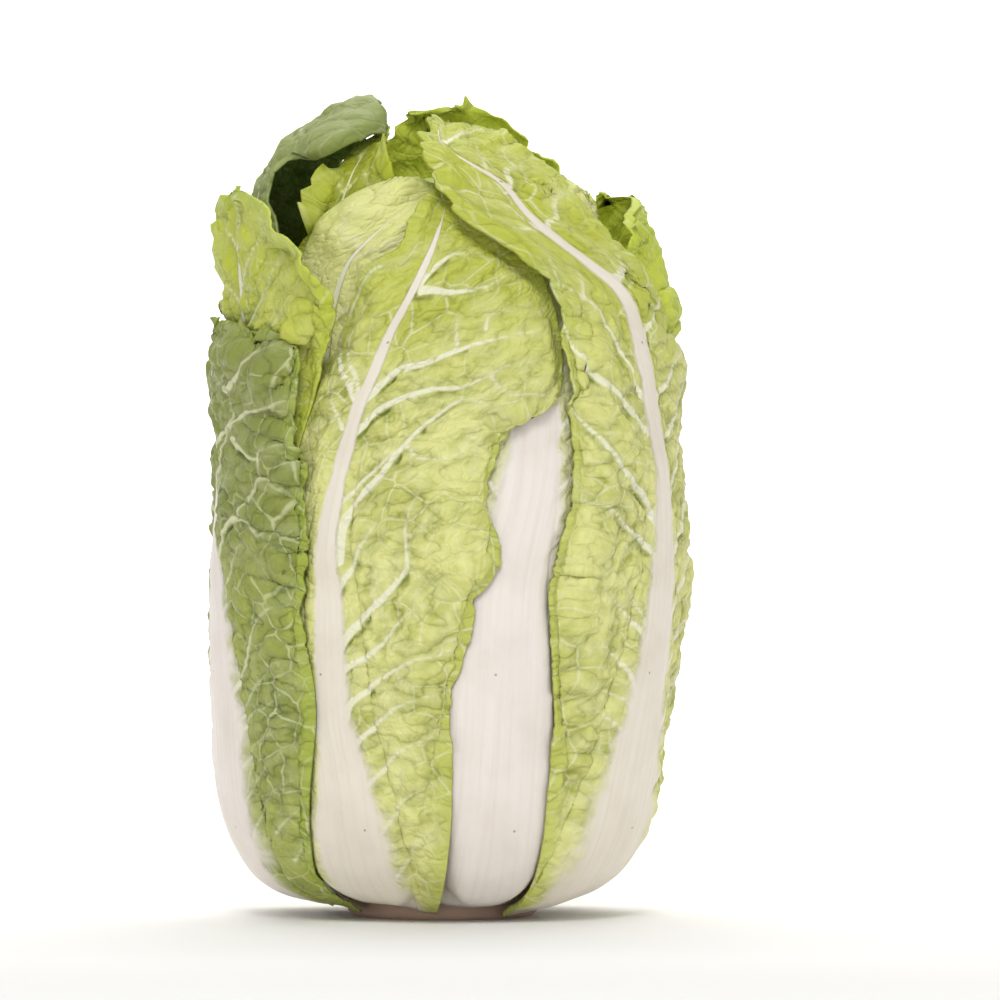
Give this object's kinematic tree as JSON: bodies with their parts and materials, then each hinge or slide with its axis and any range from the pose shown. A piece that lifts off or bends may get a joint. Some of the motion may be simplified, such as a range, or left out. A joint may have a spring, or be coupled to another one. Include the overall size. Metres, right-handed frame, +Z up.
{
  "type": "napa cabbage",
  "caption": "Head of napa cabbage standing on its trimmed stem, with broad white midribs, puckered pale green blades, raised veins and ruffled leaf margins.",
  "frame": {"origin": "middle of the cut face under the stem, on which the head stands", "axes": "+Z up from the stem to the crown, -Y the front shown in the picture, +X its right side"},
  "size_m": [0.1451, 0.127, 0.24],
  "materials": {
    "cut_stem": "cut flesh, dry and matte",
    "inner_leaf": "waxy leaf, satin",
    "pale_leaf": "waxy leaf, satin",
    "bright_leaf": "waxy leaf, satin",
    "dull_leaf": "waxy leaf, satin"
  },
  "bodies": {
    "root": {"stem": "cut_stem", "heart": "inner_leaf", "inner_leaf_frilled": "inner_leaf", "inner_leaf_left": "inner_leaf", "inner_leaf_right": "inner_leaf", "crown_leaf": "bright_leaf", "centre_leaf": "pale_leaf", "hooded_leaf": "dull_leaf", "back_left_leaf": "pale_leaf", "front_left_leaf": "pale_leaf", "front_right_leaf": "pale_leaf", "back_right_leaf": "bright_leaf", "back_leaf": "pale_leaf", "left_leaf": "pale_leaf", "outer_left_leaf": "dull_leaf"}
  },
  "joints": []
}
